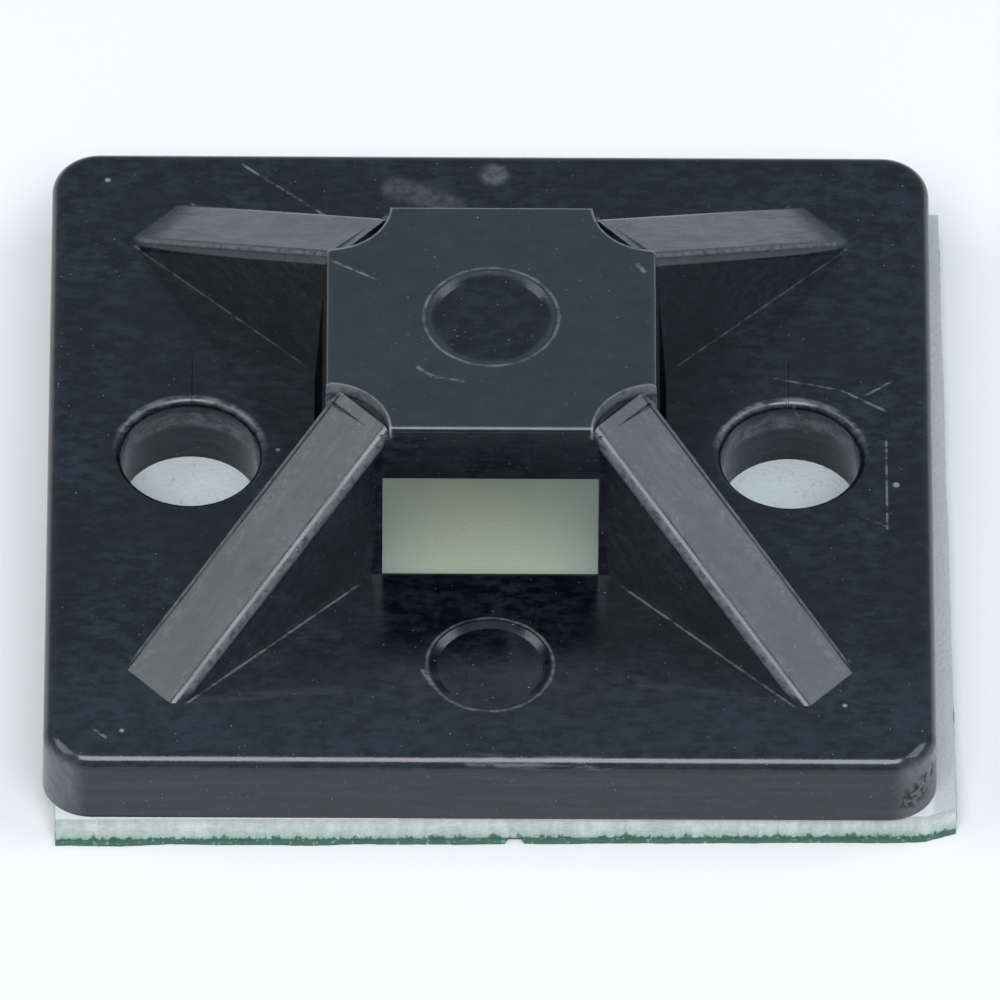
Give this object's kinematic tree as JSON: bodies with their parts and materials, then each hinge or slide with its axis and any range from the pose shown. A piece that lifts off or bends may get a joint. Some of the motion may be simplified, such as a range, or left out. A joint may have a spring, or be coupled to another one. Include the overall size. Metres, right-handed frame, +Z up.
{
  "type": "cable tie mount",
  "caption": "Square cable tie mount with a raised octagonal bridge on diagonal struts, crossing tie passages, side screw holes, and a foam adhesive pad with a release liner.",
  "frame": {"origin": "under the plate's centre, on the release liner's lower face, which the part rests on", "axes": "+Z up out of the plate through the bridge's centre; X runs through the two screw holes; -Y is the long side with the bridge's front passage and the plate's ejector mark"},
  "size_m": [0.0286, 0.0269, 0.0099],
  "materials": {
    "black_nylon": "moulded black nylon, satin, lightly scuffed",
    "white_foam": "closed-cell foam tape, matt",
    "green_liner": "siliconised paper, dull"
  },
  "bodies": {
    "root": {"mount_body": "black_nylon", "foam_pad": "white_foam", "release_liner": "green_liner"}
  },
  "joints": []
}
